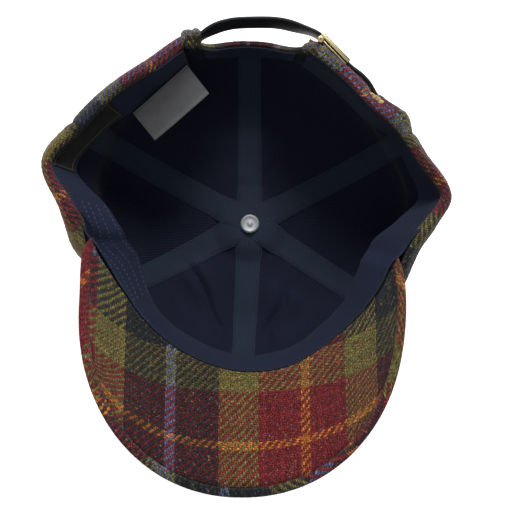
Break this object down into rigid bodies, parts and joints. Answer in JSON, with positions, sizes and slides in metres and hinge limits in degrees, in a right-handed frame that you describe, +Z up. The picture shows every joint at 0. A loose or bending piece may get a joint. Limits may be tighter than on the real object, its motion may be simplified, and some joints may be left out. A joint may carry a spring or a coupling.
{
  "type": "baseball cap",
  "caption": "Six-panel peaked cap in plaid tweed, lined, lying on its crown with the opening up, with a buckled leather strap across the arch at the back.",
  "frame": {"origin": "on the surface that the cap lies on, straight under the button in the middle of the crown", "axes": "+Z up from the crown to the opening, -Y towards the peak, +X to the right seen from above with the peak towards the viewer"},
  "size_m": [0.2275, 0.2618, 0.1129],
  "materials": {
    "tweed": "wool tweed in a red, olive, brown and navy plaid with orange and blue lines",
    "lining": "navy cotton twill",
    "tape": "dark blue-grey cotton tape",
    "sweatband": "navy cotton twill",
    "leather": "smooth black leather",
    "brass": "pale brushed brass",
    "rivet": "satin metal",
    "label_white": "woven satin label, bare",
    "label_black": "woven black label with a thin woven line round its edge"
  },
  "bodies": {
    "root": {"panel_back_right": "tweed", "panel_back_left": "tweed", "panel_side_left": "tweed", "panel_front_left": "tweed", "panel_front_right": "tweed", "panel_side_right": "tweed", "lining_back_right": "lining", "lining_back_left": "lining", "lining_side_left": "lining", "lining_front_left": "lining", "lining_front_right": "lining", "lining_side_right": "lining", "tape_left_back": "tape", "tape_right_front": "tape", "tape_right_back": "tape", "tape_left_front": "tape", "tape_back": "tape", "tape_front": "tape", "sweatband": "sweatband", "arch_facing": "sweatband", "peak_upper": "tweed", "peak_under": "tweed", "strap": "leather", "buckle_frame": "brass", "buckle_plate": "brass", "buckle_tab": "tweed", "button_cover": "tweed", "button_rivet": "rivet", "label_care": "label_white", "label_woven": "label_black"}
  },
  "joints": []
}
